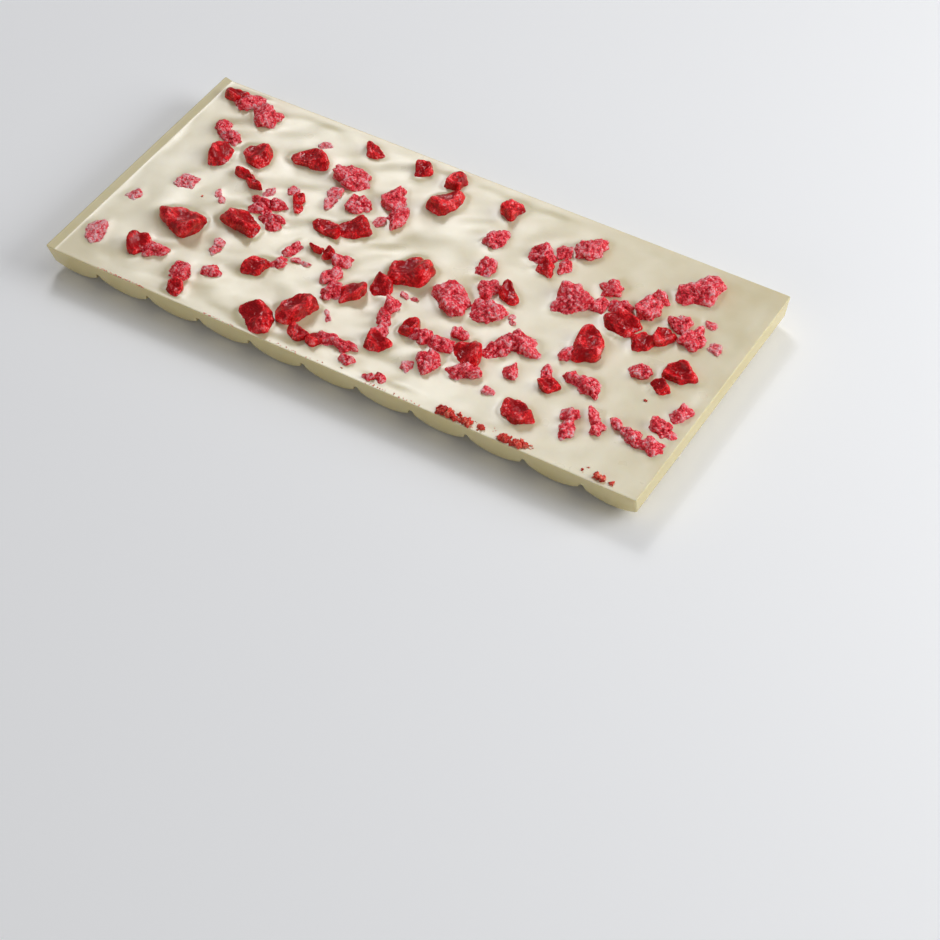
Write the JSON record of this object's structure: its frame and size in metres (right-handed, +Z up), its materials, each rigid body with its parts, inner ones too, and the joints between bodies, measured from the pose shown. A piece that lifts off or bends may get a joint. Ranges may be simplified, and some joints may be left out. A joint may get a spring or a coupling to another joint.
{
  "type": "chocolate bar",
  "caption": "White chocolate bar with freeze-dried raspberry pieces strewn over its back and a ribbed moulded face below.",
  "frame": {"origin": "middle of the flat oval plaque that the bar rests on, under the centre of the bar", "axes": "+X along the bar, +Y across it, +Z up out of the raspberry side"},
  "size_m": [0.162, 0.074, 0.0135],
  "materials": {
    "white_chocolate": "satin white chocolate, ivory",
    "raspberry": "freeze-dried raspberry, crimson, rough where broken and satin on the skin"
  },
  "bodies": {
    "root": {"bar": "white_chocolate"}
  },
  "joints": []
}
